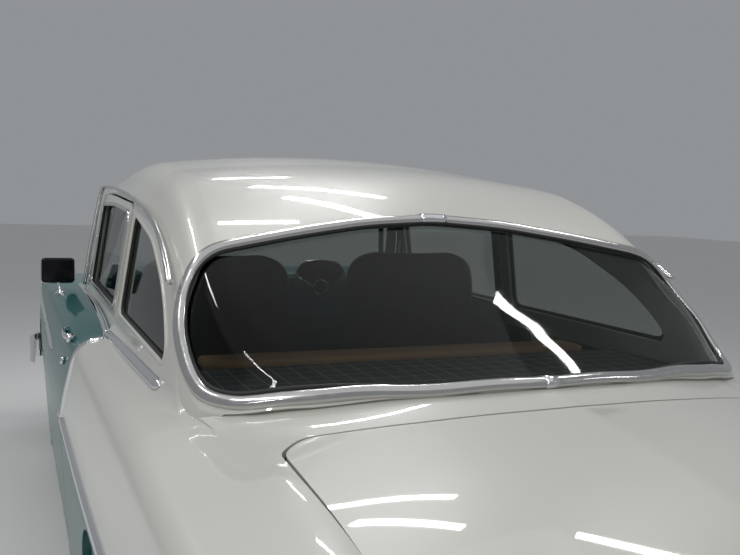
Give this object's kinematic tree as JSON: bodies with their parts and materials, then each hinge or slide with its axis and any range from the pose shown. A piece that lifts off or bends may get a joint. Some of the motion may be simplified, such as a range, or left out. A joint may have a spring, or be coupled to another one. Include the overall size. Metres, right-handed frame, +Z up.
{
  "type": "two-door sedan, 1950s classic car",
  "caption": "Full-size two-door sedan of the 1950s with a white roof, teal body, wrapped windows, opening doors, hood and trunk lid, steering and rolling wheels.",
  "frame": {"origin": "on the ground, in the car's middle plane, halfway between the bumpers' ends", "axes": "+Y along the car from front to rear, +X to the car's left, +Z up; the car drives towards -Y"},
  "size_m": [1.88, 4.966, 1.56],
  "materials": {
    "teal_paint": "metallic teal green, gloss",
    "ivory_paint": "ivory white, gloss",
    "body_underside": "dark primer",
    "frame_black": "black chassis paint",
    "engine_paint": "grey engine enamel",
    "exhaust_steel": "dull steel",
    "bright_trim": "polished",
    "lamp_glass": "clear ribbed lens",
    "red_lens": "red lens",
    "window_glass": "clear, slightly green",
    "dash_paint": "teal, satin",
    "steering_plastic": "black rim",
    "seat_leather": "black and grey trim",
    "tyre_rubber": "black rubber with a white side band",
    "wheel_chrome": "polished cap on painted rim"
  },
  "bodies": {
    "body": {"fender_left": "teal_paint", "fender_right": "teal_paint", "quarter_left": "teal_paint", "quarter_right": "teal_paint", "tail_panel": "teal_paint", "roof": "ivory_paint", "rear_deck": "ivory_paint", "floor_pan": "body_underside", "cowl": "body_underside", "chassis_frame": "frame_black", "suspension": "frame_black", "rear_axle": "frame_black", "fuel_tank": "frame_black", "radiator": "frame_black", "engine_block": "engine_paint", "exhaust": "exhaust_steel", "grille": "bright_trim", "front_bumper": "bright_trim", "rear_bumper": "bright_trim", "head_lamps": "lamp_glass", "tail_lamps": "red_lens", "windshield": "window_glass", "rear_window": "window_glass", "quarter_windows": "window_glass", "dashboard": "dash_paint", "front_seats": "seat_leather", "rear_seat": "seat_leather"},
    "steering_wheel": {"steering_wheel": "steering_plastic"},
    "hood": {"hood": "teal_paint"},
    "trunk_lid": {"trunk_lid": "ivory_paint"},
    "door_left": {"door_left": "teal_paint", "door_window_left": "window_glass", "door_mirror": "bright_trim"},
    "door_right": {"door_right": "teal_paint", "door_window_right": "window_glass"},
    "knuckle_left": {"knuckle_left": "frame_black"},
    "knuckle_right": {"knuckle_right": "frame_black"},
    "wheel_front_left": {"tyre_front_left": "tyre_rubber", "wheel_front_left": "wheel_chrome"},
    "wheel_front_right": {"tyre_front_right": "tyre_rubber", "wheel_front_right": "wheel_chrome"},
    "wheel_rear_left": {"tyre_rear_left": "tyre_rubber", "wheel_rear_left": "wheel_chrome"},
    "wheel_rear_right": {"tyre_rear_right": "tyre_rubber", "wheel_rear_right": "wheel_chrome"}
  },
  "joints": [
    {"name": "steer_left", "type": "hinge", "parent": "body", "child": "knuckle_left", "pos_m": [0.6085, -1.688, 0.346], "axis": [0, 0, 1], "range_deg": [-33, 33]},
    {"name": "steer_right", "type": "hinge", "parent": "body", "child": "knuckle_right", "pos_m": [-0.6085, -1.688, 0.346], "axis": [0, 0, 1], "range_deg": [-33.01, 33.01]},
    {"name": "steering_wheel_turn", "type": "hinge", "parent": "body", "child": "steering_wheel", "pos_m": [0.375, -0.448, 0.9], "axis": [0, 0.8831, 0.4692], "range_deg": [-400, 400]},
    {"name": "door_left_hinge", "type": "hinge", "parent": "body", "child": "door_left", "pos_m": [0.9, -0.964, 0.6], "axis": [0, 0, -1], "range_deg": [0, 65]},
    {"name": "door_right_hinge", "type": "hinge", "parent": "body", "child": "door_right", "pos_m": [-0.9, -0.964, 0.6], "axis": [0, 0, 1], "range_deg": [0, 65]},
    {"name": "hood_hinge", "type": "hinge", "parent": "body", "child": "hood", "pos_m": [0, -1.165, 1.012], "axis": [-1, 0, 0], "range_deg": [0, 50]},
    {"name": "trunk_lid_hinge", "type": "hinge", "parent": "body", "child": "trunk_lid", "pos_m": [0, 1.497, 1.031], "axis": [1, 0, 0], "range_deg": [0, 60]},
    {"name": "spin_front_left", "type": "hinge", "parent": "knuckle_left", "child": "wheel_front_left", "pos_m": [0.7365, -1.688, 0.346], "axis": [1, 0, 0], "continuous": true},
    {"name": "spin_front_right", "type": "hinge", "parent": "knuckle_right", "child": "wheel_front_right", "pos_m": [-0.7365, -1.688, 0.346], "axis": [1, 0, 0], "continuous": true},
    {"name": "spin_rear_left", "type": "hinge", "parent": "body", "child": "wheel_rear_left", "pos_m": [0.747, 1.233, 0.346], "axis": [1, 0, 0], "continuous": true},
    {"name": "spin_rear_right", "type": "hinge", "parent": "body", "child": "wheel_rear_right", "pos_m": [-0.747, 1.233, 0.346], "axis": [1, 0, 0], "continuous": true}
  ],
  "couplings": [
    {"joint": "steer_right", "follows": "steer_left", "ratio": 1},
    {"joint": "steering_wheel_turn", "follows": "steer_left", "ratio": 12}
  ]
}
